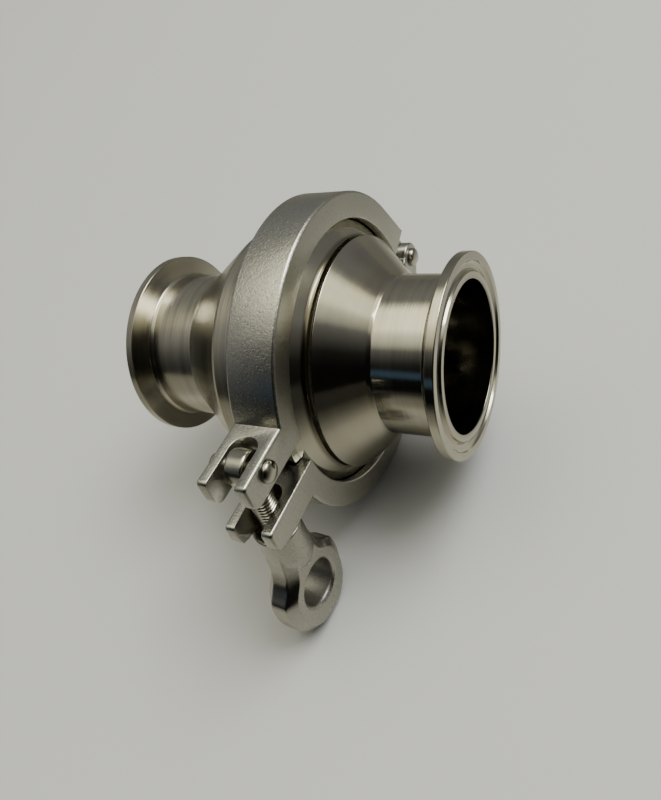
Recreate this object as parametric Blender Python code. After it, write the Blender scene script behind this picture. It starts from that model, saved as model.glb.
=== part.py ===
"""Sanitary spring check valve: two turned body halves held by a hinged clamp with a swing bolt and wing nut.

Metres, +Z up, valve axis along X, inlet end at +X. The valve lies on the clamp ring and the wing nut.
Lengths below are millimetres and are scaled once, by MM, when a mesh is made.
"""
import math

import bmesh
import bpy
from mathutils import Matrix, Vector

MM = 0.001

# Frame: the valve axis stands this far from the origin, which is under the middle of the bounding box.
AXIS_Y = 12.807
AXIS_Z = 51.3
# The clamp is turned about the valve axis until its ring and the nut both touch the ground.
CLAMP_TURN = math.radians(-10.1)
# The wing nut's plate is turned a little from square to the valve axis.
NUT_TURN = math.radians(-5.0)

# Overall
FACE_X = 55.5          # end faces at +-FACE_X
JOINT_X = 9.1          # middle of the clamped joint
JOINT_HALF = 0.8       # half the gap between the two body flanges

# 2 inch ferrule and tube
BORE_R = 23.75
TUBE_R = 25.4
FERRULE_R = 32.0
RIM_T = 2.85
TAPER = math.tan(math.radians(20.0))

# 3 inch flanges inside the clamp
FLANGE_R = 45.5
INLET_CAVITY_R = 34.5
OUTLET_CAVITY_R = 36.5

# Clamp ring
CLAMP_R = 51.3
CLAMP_HALF_W = 8.15
CLAMP_CHAMFER = 1.2
LIP_R = 43.0
GROOVE_R = 46.1
GROOVE_CLEAR = 0.33

# Clamp ends, as (y, z) in the clamp's own frame
HINGE_Y = 53.6
HINGE_Z = 0.0
HINGE_R = 5.3
EAR_T = 3.95
KNUCKLE_GAP = 0.35
PIVOT_Y = -60.8
PIVOT_Z = 10.3
FORK_END_Y = -71.3
UPPER_FORK = (4.4, 14.7)
LOWER_FORK = (-15.4, -5.5)
SLOT_END_Y = -53.2
SLOT_HALF = 4.6
PIN_R = 2.3
PIN_HOLE_R = 2.38
PIN_HEAD_R = 3.3
PIN_HEAD_H = 2.1

# Swing bolt (M8) and wing nut
BOLT_X = 9.4
EYE_R = 5.5
EYE_HALF = 3.1
BOLT_R = 3.95
THREAD_PITCH = 1.25
THREAD_DEPTH = 0.62
BOLT_END = 46.2        # below the pivot
NUT_TOP = 26.0         # below the pivot
NUT_BORE_R = 5.6
INSERT_BORE_R = 4.1
NUT_HOLE_Z = 55.4      # finger hole's centre, below the pivot
NUT_HOLE_R = 8.0

# Poppet
STEM_R = 4.0
STEM_FRONT_R = 3.0
ORING_X, ORING_R, ORING_WIRE = 26.4, 26.3, 1.6
SPRING_R, SPRING_WIRE, SPRING_TURNS = 10.6, 0.9, 6.0
SPRING_FRONT, SPRING_BACK = 18.6, -3.4


def clear_scene():
    for obj in list(bpy.data.objects):
        bpy.data.objects.remove(obj, do_unlink=True)
    for mesh in list(bpy.data.meshes):
        bpy.data.meshes.remove(mesh)


def material(name, colour, roughness, metallic):
    mat = bpy.data.materials.new(name)
    mat.use_nodes = True
    shader = mat.node_tree.nodes["Principled BSDF"]
    shader.inputs["Base Color"].default_value = (*colour, 1.0)
    shader.inputs["Roughness"].default_value = roughness
    shader.inputs["Metallic"].default_value = metallic
    mat.diffuse_color = (*colour, 1.0)
    return mat


def mesh_object(name, verts, faces, mat=None, parent=None, smooth=True):
    """An object from millimetre points, with its faces turned outward."""
    mesh = bpy.data.meshes.new(name)
    mesh.from_pydata([Vector(v) * MM for v in verts], [], faces)
    work = bmesh.new()
    work.from_mesh(mesh)
    bmesh.ops.remove_doubles(work, verts=work.verts, dist=1e-7)
    bmesh.ops.recalc_face_normals(work, faces=work.faces)
    work.to_mesh(mesh)
    work.free()
    obj = bpy.data.objects.new(name, mesh)
    bpy.context.scene.collection.objects.link(obj)
    if mat:
        mesh.materials.append(mat)
    if parent:
        obj.parent = parent
    if smooth:
        shade(obj)
    return obj


def shade(obj):
    obj.data.shade_smooth()
    obj.data.set_sharp_from_angle(angle=math.radians(30.0))


def frame(name, parent=None, location=(0, 0, 0), turn=None):
    empty = bpy.data.objects.new(name, None)
    bpy.context.scene.collection.objects.link(empty)
    empty.empty_display_size = 0.01
    empty.location = Vector(location) * MM
    if turn:
        empty.rotation_euler = turn
    empty.parent = parent
    return empty


def revolve(name, profile, segments, mat=None, parent=None, axis="X", centre=(0, 0), closed=True):
    """Turns (along, radius) points about an axis. A radius of 0 makes a pole."""
    verts, rings, faces = [], [], []
    for along, radius in profile:
        if radius < 1e-6:
            rings.append([len(verts)])
            verts.append((along, 0.0, 0.0))
            continue
        rings.append(list(range(len(verts), len(verts) + segments)))
        for i in range(segments):
            angle = 2 * math.pi * i / segments
            verts.append((along, radius * math.cos(angle), radius * math.sin(angle)))
    pairs = list(zip(rings, rings[1:]))
    if closed:
        pairs.append((rings[-1], rings[0]))
    for first, second in pairs:
        if len(first) == 1 and len(second) == 1:
            continue
        for i in range(segments):
            j = (i + 1) % segments
            quad = [first[i % len(first)], first[j % len(first)], second[j % len(second)], second[i % len(second)]]
            faces.append(list(dict.fromkeys(quad)))
    if axis == "X":
        verts = [(x, y + centre[0], z + centre[1]) for x, y, z in verts]
    else:
        verts = [(y + centre[0], z + centre[1], x) for x, y, z in verts]
    return mesh_object(name, verts, faces, mat, parent)


def inset(outline, by):
    """Moves a closed (y, z) outline inward by the same distance all round."""
    count = len(outline)
    area = sum(outline[i][0] * outline[(i + 1) % count][1] - outline[(i + 1) % count][0] * outline[i][1]
               for i in range(count))
    side = 1.0 if area > 0 else -1.0
    moved = []
    for i in range(count):
        before = Vector(outline[i]) - Vector(outline[i - 1])
        after = Vector(outline[(i + 1) % count]) - Vector(outline[i])
        n1 = Vector((-before.y, before.x)).normalized() * side
        n2 = Vector((-after.y, after.x)).normalized() * side
        bend = (n1 + n2) / (1.0 + n1.dot(n2))
        point = Vector(outline[i]) + bend * by
        moved.append((point.x, point.y))
    return moved


def slab(name, outline, x0, x1, chamfer=0.0, mat=None, parent=None):
    """A (y, z) outline carried from x0 to x1, with its edges chamfered."""
    if chamfer:
        small = inset(outline, chamfer)
        levels = [(x0, small), (x0 + chamfer, outline), (x1 - chamfer, outline), (x1, small)]
    else:
        levels = [(x0, outline), (x1, outline)]
    count = len(outline)
    verts = [(x, y, z) for x, points in levels for y, z in points]
    faces = [list(range(count)), list(range(len(verts) - count, len(verts)))]
    for level in range(len(levels) - 1):
        for i in range(count):
            j = (i + 1) % count
            a = level * count
            faces.append([a + i, a + j, a + count + j, a + count + i])
    return mesh_object(name, verts, faces, mat, parent, smooth=False)


def arc(y, z, radius, start, end, steps):
    """Points on a circle between two angles in degrees."""
    points = []
    for i in range(steps + 1):
        angle = math.radians(start + (end - start) * i / steps)
        points.append((y + radius * math.cos(angle), z + radius * math.sin(angle)))
    return points


def combine(base, others, operation):
    """Joins others to base, or cuts them from it, and removes them."""
    for other in others:
        modifier = base.modifiers.new(operation.lower(), "BOOLEAN")
        modifier.operation = operation
        modifier.solver = "EXACT"
        modifier.object = other
        bpy.context.view_layer.update()
        graph = bpy.context.evaluated_depsgraph_get()
        result = bpy.data.meshes.new_from_object(base.evaluated_get(graph), depsgraph=graph)
        base.modifiers.clear()
        old = base.data
        base.data = result
        bpy.data.meshes.remove(old)
        bpy.data.objects.remove(other, do_unlink=True)
    return base


def finish(obj, name, mat, parent):
    """Cleans a combined mesh, names it and puts it under its frame."""
    work = bmesh.new()
    work.from_mesh(obj.data)
    bmesh.ops.remove_doubles(work, verts=work.verts, dist=2e-6)
    bmesh.ops.dissolve_degenerate(work, edges=work.edges, dist=1e-6)
    bmesh.ops.triangulate(work, faces=[f for f in work.faces if len(f.verts) > 4])
    bmesh.ops.recalc_face_normals(work, faces=work.faces)
    work.to_mesh(obj.data)
    work.free()
    obj.data.materials.clear()
    obj.data.materials.append(mat)
    obj.name = name
    obj.data.name = name
    obj.parent = parent
    shade(obj)
    return obj


def move_origin(obj, y, z, x=JOINT_X):
    """Puts the object's origin on its joint axis without moving its shape."""
    shift = Vector((x, y, z)) * MM
    obj.data.transform(Matrix.Translation(-shift))
    obj.location = shift


def ferrule(sign):
    """Outer profile of a ferrule from its bore edge to the tube, for the end at sign * FACE_X."""
    face, back = FACE_X, FACE_X - RIM_T
    slope = [(back - (FERRULE_R - 0.25 - r) * TAPER, r) for r in (FERRULE_R - 0.25, 27.0)]
    points = [
        (face, BORE_R), (face, 25.9), (face - 1.3, 26.8), (face - 1.3, 28.6), (face, 29.5),
        (face, FERRULE_R - 0.3), (face - 0.3, FERRULE_R), (back + 0.25, FERRULE_R), slope[0], slope[1],
        (slope[1][0] - 0.9, 25.8), (slope[1][0] - 2.0, TUBE_R),
    ]
    return [(sign * x, r) for x, r in points]


def inlet_body(mat, parent):
    face = JOINT_X + JOINT_HALF
    rim = face + RIM_T
    profile = ferrule(1) + [
        (33.5, TUBE_R), (32.5, 26.1), (20.8, 37.6), (18.4, 37.7), (17.9, 38.15), (rim + 2.5 * TAPER, LIP_R),
        (rim, FLANGE_R - 0.2), (rim - 0.2, FLANGE_R), (face, FLANGE_R), (face, INLET_CAVITY_R),
        (20.75, INLET_CAVITY_R), (31.5, BORE_R),
    ]
    return revolve("inlet_body", profile, 48, mat, parent)


def outlet_body(mat, parent):
    face = JOINT_X - JOINT_HALF
    rim = face - RIM_T
    profile = ferrule(-1) + [
        (-33.1, TUBE_R), (-32.0, 26.1), (-12.1, 40.45), (-10.9, 41.2), (3.4, 41.8), (rim - 2.5 * TAPER, LIP_R),
        (rim, FLANGE_R - 0.2), (rim + 0.2, FLANGE_R), (face, FLANGE_R), (face, OUTLET_CAVITY_R),
        (-2.0, OUTLET_CAVITY_R), (-2.0, 38.1), (-3.5, 38.1), (-3.5, OUTLET_CAVITY_R),
        (-11.5, OUTLET_CAVITY_R), (-31.0, BORE_R),
    ]
    return revolve("outlet_body", profile, 48, mat, parent)


def body_gasket(mat, parent):
    a, b = JOINT_X - 0.5, JOINT_X + 0.5
    profile = [(a, 36.7), (b, 36.7), (b, 44.7), (a, 44.7)]
    return revolve("body_gasket", profile, 48, mat, parent)


def poppet(mats, parent):
    """Disc, O-ring, retainer, washer, nut, stem, spring seat and clip: all of them slide together."""
    disc = [(20.6, 3.3), (20.6, 28.4), (21.4, 29.4), (24.4, 29.4), (24.4, 24.6), (27.9, 24.6), (27.9, 3.3)]
    revolve("poppet_disc", disc, 40, mats["steel"], parent)
    retainer = [(28.2, 3.3), (28.2, 26.0), (30.2, 24.0), (31.6, 12.0), (31.6, 3.3)]
    revolve("oring_retainer", retainer, 40, mats["steel"], parent)
    ring = [(ORING_X + ORING_WIRE * math.cos(a), ORING_R + ORING_WIRE * math.sin(a))
            for a in (2 * math.pi * i / 6 for i in range(6))]
    revolve("poppet_oring", ring, 40, mats["rubber"], parent)
    revolve("lock_washer", [(31.9, 3.3), (31.9, 6.2), (33.3, 6.2), (33.3, 3.3)], 24, mats["steel"], parent)
    retainer_nut(mats["steel"], parent)
    stem = [(40.2, 0.0), (40.2, 2.4), (39.6, STEM_FRONT_R), (20.3, STEM_FRONT_R), (20.3, STEM_R),
            (-22.6, STEM_R), (-22.6, 3.2), (-23.9, 3.2), (-23.9, STEM_R), (-29.0, STEM_R), (-29.8, 3.2),
            (-29.8, 0.0)]
    revolve("poppet_stem", stem, 24, mats["steel"], parent, closed=False)
    cup = [(18.9, 4.3), (18.9, 9.0), (15.6, 9.0), (15.6, 9.5), (19.1, 9.5), (19.1, 12.6), (20.0, 12.6),
           (20.0, 4.3)]
    revolve("spring_seat", cup, 24, mats["steel"], parent)
    stem_clip(mats["spring"], parent)


def retainer_nut(mat, parent):
    """Hexagon nut on the stem's front thread."""
    across = 5.0 / math.cos(math.pi / 6)
    outline = [(across * math.cos(math.radians(60 * i)), across * math.sin(math.radians(60 * i))) for i in range(6)]
    body = slab("nut_block", outline, 33.6, 38.6, 0.4)
    bore = revolve("nut_bore", [(30, 0), (30, 3.3), (42, 3.3), (42, 0)], 24, closed=False)
    combine(body, [bore], "DIFFERENCE")
    finish(body, "retainer_nut", mat, parent)


def stem_clip(mat, parent):
    """Open retaining clip in the stem's rear groove."""
    outline = arc(0, 0, 6.2, 35, 325, 16) + arc(0, 0, 3.45, 325, 35, 16)
    slab("stem_clip", outline, -23.6, -22.9, 0.0, mat, parent)


def spring(mat, parent):
    """Compression spring between the seat on the disc and the guide hub."""
    around, per_turn = 6, 14
    length = SPRING_FRONT - SPRING_BACK - 2 * SPRING_WIRE
    steps = int(SPRING_TURNS * per_turn)
    verts, faces = [], []
    for i in range(steps + 1):
        share = i / steps
        # The end turns lie closer together than the middle ones.
        eased = share - 0.06 * math.sin(2 * math.pi * share)
        x = SPRING_BACK + SPRING_WIRE + length * eased
        angle = 2 * math.pi * i / per_turn
        for k in range(around):
            bend = 2 * math.pi * k / around
            radius = SPRING_R + SPRING_WIRE * math.cos(bend)
            verts.append((x + SPRING_WIRE * math.sin(bend), radius * math.cos(angle), radius * math.sin(angle)))
    for i in range(steps):
        for k in range(around):
            j = (k + 1) % around
            a = i * around
            faces.append([a + k, a + j, a + around + j, a + around + k])
    faces.append(list(range(around)))
    faces.append(list(range(steps * around, (steps + 1) * around)))
    mesh_object("spring", verts, faces, mat, parent)


def guide(mats, parent):
    """Three-armed guide, its bush, and the ring that holds it in the outlet body."""
    rim = revolve("guide_rim", [(-11.0, 33.2), (-11.0, 36.2), (-3.9, 36.2), (-3.9, 33.2)], 48)
    hub = revolve("guide_hub", [(-17.0, 6.3), (-17.0, 9.0), (-16.0, 9.6), (-3.9, 9.6), (-3.9, 6.3)], 24)
    arms = []
    for turn in (90, 210, 330):
        side = [(8.2, -2.4), (34.4, -2.4), (34.4, 2.4), (8.2, 2.4)]
        c, s = math.cos(math.radians(turn)), math.sin(math.radians(turn))
        outline = [(y * c - z * s, y * s + z * c) for y, z in side]
        arms.append(slab("guide_arm", outline, -9.9, -4.6, 0.6))
    combine(rim, arms, "UNION")
    combine(rim, [hub], "UNION")
    finish(rim, "guide_spider", mats["steel"], parent)
    bush = [(-18.0, 4.08), (-18.0, 6.0), (-3.2, 6.0), (-3.2, 4.08)]
    revolve("guide_bush", bush, 24, mats["ptfe"], parent)
    outline = arc(0, 0, 37.8, 8, 352, 48) + arc(0, 0, 33.9, 352, 8, 48)
    slab("guide_retaining_ring", outline, -3.2, -2.3, 0.0, mats["spring"], parent)


def ring_blank(name):
    """The whole clamp ring, before it is cut into two halves."""
    a, b = JOINT_X - CLAMP_HALF_W, JOINT_X + CLAMP_HALF_W
    half = JOINT_HALF + RIM_T + GROOVE_CLEAR
    lip = half + (FLANGE_R - LIP_R) * TAPER
    deep = half - (GROOVE_R - FLANGE_R) * TAPER
    profile = [
        (a, LIP_R + 0.5), (a, CLAMP_R - CLAMP_CHAMFER), (a + CLAMP_CHAMFER, CLAMP_R), (b - CLAMP_CHAMFER, CLAMP_R),
        (b, CLAMP_R - CLAMP_CHAMFER), (b, LIP_R + 0.5), (b - 0.5, LIP_R), (JOINT_X + lip, LIP_R),
        (JOINT_X + deep, GROOVE_R), (JOINT_X - deep, GROOVE_R), (JOINT_X - lip, LIP_R), (a + 0.5, LIP_R),
    ]
    return revolve(name, profile, 64)


def hinge_outline(sign):
    """Ring outline drawn out to the hinge eye on the side of positive (1) or negative (-1) z."""
    distance = HINGE_Y
    lean = math.degrees(math.acos((CLAMP_R - HINGE_R) / distance))
    top = math.radians(lean)
    start = (CLAMP_R * math.cos(top), CLAMP_R * math.sin(top))
    inner = [(40.8 * math.cos(top), 40.8 * math.sin(top)), (42.4, 0.0)]
    eye = arc(HINGE_Y, 0.0, HINGE_R, lean, -150, 14)
    points = [start] + eye + [(42.4, 0.0), inner[0]]
    return [(y, z * sign) for y, z in points]


def round_cutter(y, z, radius, x0, x1, segments=32):
    return revolve("round_cutter", [(x0, 0), (x0, radius), (x1, radius), (x1, 0)], segments, centre=(y, z),
                   closed=False)


def block(y0, y1, z0, z1, x0, x1):
    return slab("block", [(y0, z0), (y1, z0), (y1, z1), (y0, z1)], x0, x1)


def groove_cutter():
    """What the flanges and the valve body need, as a solid that is cut from a clamp half."""
    half = JOINT_HALF + RIM_T + GROOVE_CLEAR
    lip = half + (FLANGE_R - LIP_R) * TAPER
    deep = half - (GROOVE_R - FLANGE_R) * TAPER
    profile = [
        (-20, 0), (-20, LIP_R), (JOINT_X - lip, LIP_R), (JOINT_X - deep, GROOVE_R), (JOINT_X + deep, GROOVE_R),
        (JOINT_X + lip, LIP_R), (40, LIP_R), (40, 0),
    ]
    return revolve("groove_cutter", profile, 64, closed=False)


def slot_cutter(z0, z1):
    """Open-ended slot with a round inner end, for the swing bolt."""
    centre = SLOT_END_Y - SLOT_HALF
    rows = []
    for i in range(17):
        angle = math.pi * i / 16
        rows.append((JOINT_X + SLOT_HALF * math.cos(angle), centre + SLOT_HALF * math.sin(angle)))
    outline = [(JOINT_X + SLOT_HALF, -90.0)] + rows + [(JOINT_X - SLOT_HALF, -90.0)]
    count = len(outline)
    verts = [(x, y, z) for z in (z0, z1) for x, y in outline]
    faces = [list(range(count)), list(range(count, 2 * count))]
    for i in range(count):
        j = (i + 1) % count
        faces.append([i, j, count + j, count + i])
    return mesh_object("slot_cutter", verts, faces, smooth=False)


def clamp_upper(mat, parent):
    a, b = JOINT_X - CLAMP_HALF_W, JOINT_X + CLAMP_HALF_W
    low, high = UPPER_FORK
    ring = ring_blank("clamp_upper")
    fork = [(-44.0, low)] + arc(FORK_END_Y + 3.6, low + 3.6, 3.6, 270, 180, 5)
    fork += arc(FORK_END_Y + 1.4, high - 1.4, 1.4, 180, 90, 3) + [(-44.0, high)]
    eye = slab("upper_eye", hinge_outline(1), a, b, 0.8)
    combine(ring, [slab("upper_fork", fork, a, b, 0.7), eye], "UNION")
    end_y0, end_z0, end_y1, end_z1 = 40.0, 7.6, 60.0, 16.4
    under = [(0, -70), (90, -70), (90, 40), (end_y1, end_z1), (end_y0, end_z0), (end_y0, -12)]
    left = slab("left_trim", under, a - 1, a + EAR_T + KNUCKLE_GAP)
    right = slab("right_trim", under, b - EAR_T - KNUCKLE_GAP, b + 1)
    cuts = [
        groove_cutter(), left, right,
        block(-90, 0, -70, low, a - 1, b + 1), block(-1, 45.5, -70, 3.2, a - 1, b + 1),
        block(44.5, 90, -70, -HINGE_R - 0.1, a - 1, b + 1),
        slot_cutter(low - 5, high + 5),
        round_cutter(PIVOT_Y, PIVOT_Z, PIN_HOLE_R, a - 2, b + 2, 20),
        round_cutter(HINGE_Y, HINGE_Z, PIN_HOLE_R, a - 2, b + 2, 20),
    ]
    combine(ring, cuts, "DIFFERENCE")
    finish(ring, "clamp_upper_half", mat, parent)
    move_origin(ring, HINGE_Y, HINGE_Z)


def clamp_lower(mat, parent):
    a, b = JOINT_X - CLAMP_HALF_W, JOINT_X + CLAMP_HALF_W
    low, high = LOWER_FORK
    reach = PIVOT_Z - low
    ring = ring_blank("clamp_lower")
    # The underside is rounded about the pivot, so that the bolt swings out with its nut in place.
    last = math.degrees(math.acos((PIVOT_Y - FORK_END_Y - 0.6) / reach))
    fork = [(-44.0, high), (-44.0, low)] + arc(PIVOT_Y, PIVOT_Z, reach, 270, 180 + last, 8)
    tip_z = PIVOT_Z - math.sqrt(reach ** 2 - (PIVOT_Y - FORK_END_Y) ** 2)
    fork += [(FORK_END_Y, tip_z + 1.6)] + arc(FORK_END_Y + 1.4, high - 1.4, 1.4, 180, 90, 3)
    eye = slab("lower_eye", hinge_outline(-1), a, b, 0.8)
    combine(ring, [slab("lower_fork", fork, a, b, 0.7), eye], "UNION")
    cuts = [
        groove_cutter(),
        block(-90, 0, high, 70, a - 1, b + 1), block(-1, 47.0, -3.0, 70, a - 1, b + 1),
        block(46.0, 90, HINGE_R + 0.1, 70, a - 1, b + 1),
        block(40.0, 90, -6.2, 70, a + EAR_T, b - EAR_T),
        round_cutter(HINGE_Y, HINGE_Z, HINGE_R + 0.7, a + EAR_T, b - EAR_T),
        slot_cutter(low - 12, high + 5),
        round_cutter(HINGE_Y, HINGE_Z, PIN_HOLE_R, a - 2, b + 2, 20),
    ]
    combine(ring, cuts, "DIFFERENCE")
    finish(ring, "clamp_lower_half", mat, parent)


def headed_pin(name, y, z, mat, parent):
    """Pin with a domed head at both ends, clear of the clamp's faces."""
    out = CLAMP_HALF_W + 0.25
    dome = [(out, PIN_HEAD_R), (out + 0.45, PIN_HEAD_R)]
    for i in range(1, 4):
        angle = math.pi / 2 * i / 4
        dome.append((out + 0.45 + (PIN_HEAD_H - 0.45) * math.sin(angle), PIN_HEAD_R * math.cos(angle)))
    dome.append((out + PIN_HEAD_H, 0.0))
    profile = [(-x, r) for x, r in reversed(dome)] + [(-out, PIN_R), (out, PIN_R)] + dome
    obj = revolve(name, [(JOINT_X + x, r) for x, r in profile], 20, mat, parent, centre=(y, z), closed=False)
    move_origin(obj, y, z)


def swing_bolt(mat, parent):
    """Eye bolt that hangs from the upper fork."""
    eye = round_cutter(PIVOT_Y, PIVOT_Z, EYE_R, BOLT_X - EYE_HALF, BOLT_X + EYE_HALF, 32)
    inner = BOLT_R - THREAD_DEPTH
    rows = [(2.0, 0.0), (2.0, 2.9), (-6.3, 2.9), (-6.9, inner)]
    z = -7.6
    while z > -(BOLT_END - 1.6):
        rows.append((z, BOLT_R))
        rows.append((z - THREAD_PITCH / 2, inner))
        z -= THREAD_PITCH
    rows += [(-BOLT_END, inner - 0.3), (-BOLT_END, 0.0)]
    shank = revolve("shank", [(PIVOT_Z + along, r) for along, r in rows], 12, axis="Z",
                    centre=(BOLT_X, PIVOT_Y), closed=False)
    combine(eye, [shank], "UNION")
    combine(eye, [round_cutter(PIVOT_Y, PIVOT_Z, PIN_HOLE_R, BOLT_X - 8, BOLT_X + 8, 20)], "DIFFERENCE")
    finish(eye, "swing_bolt", mat, parent)
    move_origin(eye, PIVOT_Y, PIVOT_Z, BOLT_X)


def nut_outline(side):
    """Half outline of the nut's plate as (across, up from the pivot), from its top to its foot."""
    wide = [(7.0, -26.0), (7.3, -33.5), (7.9, -38.4), (8.7, -42.0), (10.2, -45.2), (12.3, -47.9), (14.4, -50.2),
            (15.1, -53.0), (15.2, -57.5), (14.8, -62.0), (13.6, -65.8), (11.2, -68.9), (7.6, -71.3), (3.8, -72.5),
            (0.0, -72.9)]
    narrow = [(4.2, -26.0), (4.4, -33.5), (4.7, -39.5), (5.8, -43.6), (7.6, -46.2), (9.4, -48.0), (10.9, -50.4),
              (11.6, -53.0), (11.9, -56.6), (11.6, -60.4), (10.4, -64.0), (8.4, -66.9), (5.8, -68.8), (3.0, -69.8),
              (0.0, -70.1)]
    return wide if side == "wide" else narrow


def wing_nut(mats, parent):
    """Cast nut with a thick plate, a finger hole across it, and a threaded insert pressed in its neck."""
    levels = [(-5.7, "narrow"), (-2.8, "wide"), (2.8, "wide"), (5.7, "narrow")]
    verts, faces = [], []
    for v, kind in levels:
        half = nut_outline(kind)
        loop = half + [(-u, w) for u, w in reversed(half[:-1])]
        count = len(loop)
        verts += [(v, u, w) for u, w in loop]
    for level in range(3):
        for i in range(count):
            j = (i + 1) % count
            a = level * count
            faces.append([a + i, a + j, a + count + j, a + count + i])
    faces += [list(range(count)), list(range(3 * count, 4 * count))]
    plate = mesh_object("plate", verts, faces, smooth=False)
    neck = revolve("neck", [(-26.0, 0), (-26.0, 7.2), (-26.5, 7.7), (-37.0, 7.7), (-41.0, 7.1), (-44.5, 5.2),
                            (-45.2, 0)], 32, axis="Z", closed=False)
    combine(plate, [neck], "UNION")
    hole = revolve("hole", [(-9, 0), (-9, NUT_HOLE_R + 1.1), (-5.72, NUT_HOLE_R + 1.1), (-4.6, NUT_HOLE_R),
                            (4.6, NUT_HOLE_R), (5.72, NUT_HOLE_R + 1.1), (9, NUT_HOLE_R + 1.1), (9, 0)], 32,
                   centre=(0, -NUT_HOLE_Z), closed=False)
    bore = revolve("bore", [(-20, 0), (-20, NUT_BORE_R), (-50, NUT_BORE_R), (-50, 0)], 24, axis="Z", closed=False)
    combine(plate, [hole, bore], "DIFFERENCE")
    finish(plate, "wing_nut", mats["nut"], parent)
    plate.location = Vector((BOLT_X, PIVOT_Y, PIVOT_Z)) * MM
    plate.rotation_euler = (0, 0, NUT_TURN)
    insert = [(-26.2, INSERT_BORE_R + 0.4), (-26.2, NUT_BORE_R - 0.3), (-46.6, NUT_BORE_R - 0.3),
              (-46.6, INSERT_BORE_R + 0.4), (-46.2, INSERT_BORE_R), (-26.6, INSERT_BORE_R)]
    sleeve = revolve("nut_insert", insert, 24, mats["bronze"], parent, axis="Z")
    sleeve.location = Vector((BOLT_X, PIVOT_Y, PIVOT_Z)) * MM


def build():
    clear_scene()
    mats = {
        "steel": material("turned_steel", (0.55, 0.53, 0.50), 0.28, 1.0),
        "clamp": material("cast_steel", (0.52, 0.51, 0.49), 0.38, 1.0),
        "nut": material("polished_casting", (0.55, 0.53, 0.50), 0.25, 1.0),
        "pin": material("pin_steel", (0.50, 0.48, 0.44), 0.22, 1.0),
        "spring": material("spring_steel", (0.45, 0.44, 0.42), 0.30, 1.0),
        "rubber": material("black_rubber", (0.03, 0.03, 0.03), 0.6, 0.0),
        "ptfe": material("white_ptfe", (0.85, 0.85, 0.82), 0.45, 0.0),
        "bronze": material("bronze", (0.55, 0.38, 0.18), 0.35, 1.0),
    }
    axis = frame("valve_axis", location=(0, AXIS_Y, AXIS_Z))
    clamp = frame("clamp_frame", parent=axis, turn=(CLAMP_TURN, 0, 0))
    inlet_body(mats["steel"], axis)
    outlet_body(mats["steel"], axis)
    body_gasket(mats["rubber"], axis)
    poppet(mats, axis)
    spring(mats["spring"], axis)
    guide(mats, axis)
    clamp_upper(mats["clamp"], clamp)
    clamp_lower(mats["clamp"], clamp)
    headed_pin("hinge_pin", HINGE_Y, HINGE_Z, mats["pin"], clamp)
    headed_pin("swing_bolt_pin", PIVOT_Y, PIVOT_Z, mats["pin"], clamp)
    swing_bolt(mats["pin"], clamp)
    wing_nut(mats, clamp)


build()
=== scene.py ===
"""Sanitary spring check valve with a hinged clamp: looks, floor, light and camera.

Shapes are built in millimetres. Positions along the valve axis are x, and (y, z) are measured from the axis.
The clamp's pieces are built in the clamp's own frame and turned about the axis.
"""

import math

import bmesh
import bpy
from mathutils import Matrix, Vector


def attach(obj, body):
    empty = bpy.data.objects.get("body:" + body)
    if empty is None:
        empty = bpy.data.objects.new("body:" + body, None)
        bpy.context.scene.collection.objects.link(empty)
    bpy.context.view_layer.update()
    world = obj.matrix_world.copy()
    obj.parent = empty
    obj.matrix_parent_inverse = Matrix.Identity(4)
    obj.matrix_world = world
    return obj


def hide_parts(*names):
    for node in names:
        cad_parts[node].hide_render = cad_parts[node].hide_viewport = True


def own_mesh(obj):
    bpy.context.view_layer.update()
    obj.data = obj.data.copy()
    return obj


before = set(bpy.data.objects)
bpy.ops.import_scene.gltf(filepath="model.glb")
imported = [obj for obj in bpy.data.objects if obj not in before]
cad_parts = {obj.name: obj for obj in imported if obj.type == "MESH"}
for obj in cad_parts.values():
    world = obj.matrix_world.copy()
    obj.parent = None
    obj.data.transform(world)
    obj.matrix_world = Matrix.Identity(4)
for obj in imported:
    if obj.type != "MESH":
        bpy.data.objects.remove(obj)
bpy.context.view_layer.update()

MM = 0.001
# The clamp's outer radius is also the height of the valve's axis, because the clamp rests on the floor.
CLAMP_R = 51.3
AXIS = Vector((0.0, 12.807, CLAMP_R))
CLAMP_TURN = math.radians(-10.1)
TO_AXIS = Matrix.Translation(AXIS)
TO_CLAMP = TO_AXIS @ Matrix.Rotation(CLAMP_TURN, 4, "X")

# Ferrule: the standard 2 inch size. Clamped flanges slope by 20 degrees, from LIP_R out to FLANGE_R.
FERRULE_FACE, FERRULE_R, TUBE_R, BORE_R = 55.5, 32.0, 25.4, 23.75
SLOPE = math.tan(math.radians(20.0))
LIP_R, FLANGE_R = 43.0, 45.5
FLANK = (FLANGE_R - LIP_R) * SLOPE

# Clamp, in its own frame. HINGE and PIVOT (the swing bolt's pin) are (y, z).
RING_X0, RING_X1 = 0.95, 17.25
MID_X = (RING_X0 + RING_X1) / 2
GROOVE_R = 46.1
HINGE = (53.6, 0.0)
PIVOT = (-60.8, 10.3)
KNUCKLE_R = 5.3
PIN_HOLE_R = 2.38
FORK_TIP = -71.3
SLOT_HALF, SLOT_END = 4.6, -57.8
# Edge sizes: round the inside of the ring, on its rim and on the forks.
INNER, RIM, FORK = 0.35, 0.62, 0.5
# Edges that cuts leave on the clamp. At 0.32 they folded over where the groove meets the forks.
CUT_EDGE = 0.18

# Swing bolt and wing nut, in a frame with z along the bolt and 0 at the pivot.
BOLT_X = 9.4
TO_BOLT = TO_CLAMP @ Matrix.Translation((BOLT_X, PIVOT[0], PIVOT[1]))
TO_NUT = TO_BOLT @ Matrix.Rotation(math.radians(-5.0), 4, "Z")
NUT_TOP = -26.0
FINGER_HOLE_Z, FINGER_HOLE_R = -55.4, 7.75


# ---------------------------------------------------------------- shapes

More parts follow.
